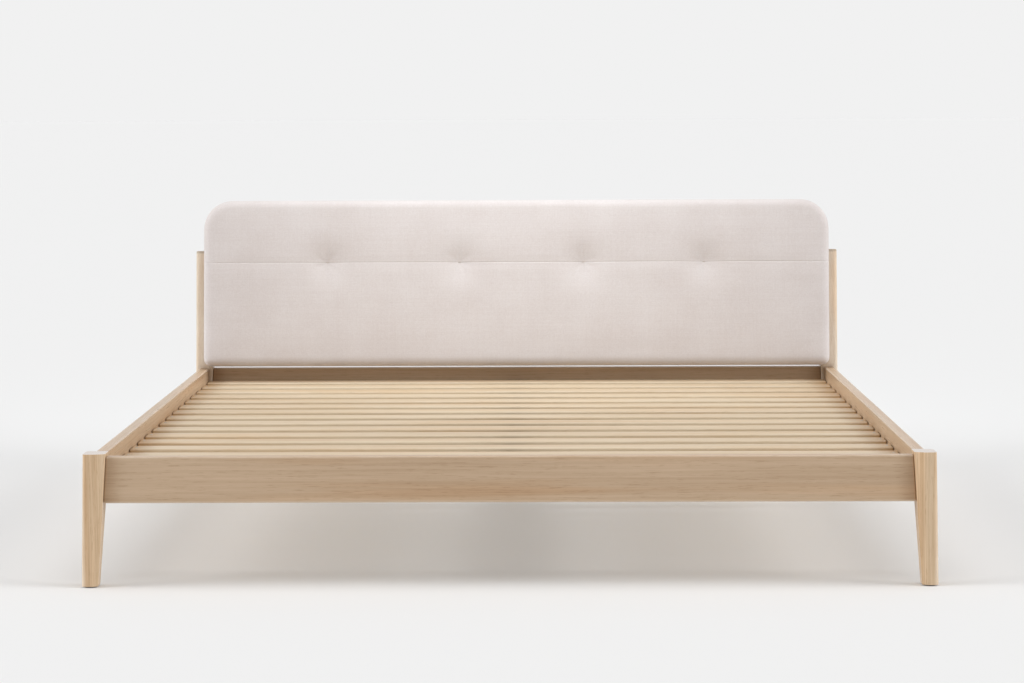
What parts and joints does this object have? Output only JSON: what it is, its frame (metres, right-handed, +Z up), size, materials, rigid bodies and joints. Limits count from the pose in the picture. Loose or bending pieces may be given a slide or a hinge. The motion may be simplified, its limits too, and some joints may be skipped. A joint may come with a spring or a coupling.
{
  "type": "bed frame",
  "caption": "Low ash bed frame with tapered legs, thin rails, slatted base and a raked upholstered headboard with a tufted seam, for a wide double mattress.",
  "frame": {"origin": "on the floor, under the middle of the whole bed", "axes": "+X to the right seen from the foot end, +Y from the foot end to the headboard, +Z up"},
  "size_m": [1.9, 2.2206, 0.7837],
  "materials": {
    "ash": "satin",
    "birch": "matte",
    "plywood": "matte",
    "cover_fabric": "matte",
    "foam": "matte",
    "dust_cloth": "matte",
    "cord": "matte",
    "black_steel": "satin",
    "zinc_steel": "satin",
    "glide_plastic": "matte"
  },
  "bodies": {
    "root": {"beam_hanger_foot": "zinc_steel", "beam_hanger_head": "zinc_steel", "centre_beam": "black_steel", "foot_leg_left": "ash", "foot_leg_right": "ash", "foot_rail": "ash", "glide_foot_left": "glide_plastic", "glide_foot_right": "glide_plastic", "glide_head_left": "glide_plastic", "glide_head_right": "glide_plastic", "head_post_left": "ash", "head_post_right": "ash", "head_rail": "ash", "headboard_back_cloth": "dust_cloth", "headboard_bolt_1": "zinc_steel", "headboard_bolt_2": "zinc_steel", "headboard_bolt_3": "zinc_steel", "headboard_bolt_4": "zinc_steel", "headboard_core": "plywood", "headboard_cover": "cover_fabric", "headboard_cross_rail": "ash", "headboard_foam": "foam", "rail_hook_foot_left": "zinc_steel", "rail_hook_foot_right": "zinc_steel", "rail_hook_head_left": "zinc_steel", "rail_hook_head_right": "zinc_steel", "rail_keeper_foot_left": "zinc_steel", "rail_keeper_foot_right": "zinc_steel", "rail_keeper_head_left": "zinc_steel", "rail_keeper_head_right": "zinc_steel", "side_rail_left": "ash", "side_rail_right": "ash", "slat_01": "birch", "slat_02": "birch", "slat_03": "birch", "slat_04": "birch", "slat_05": "birch", "slat_06": "birch", "slat_07": "birch", "slat_08": "birch", "slat_09": "birch", "slat_10": "birch", "slat_11": "birch", "slat_12": "birch", "slat_13": "birch", "slat_14": "birch", "slat_15": "birch", "slat_16": "birch", "slat_ledge_left": "birch", "slat_ledge_right": "birch", "tuft_tie_1": "cord", "tuft_tie_2": "cord", "tuft_tie_3": "cord", "tuft_tie_4": "cord"}
  },
  "joints": []
}
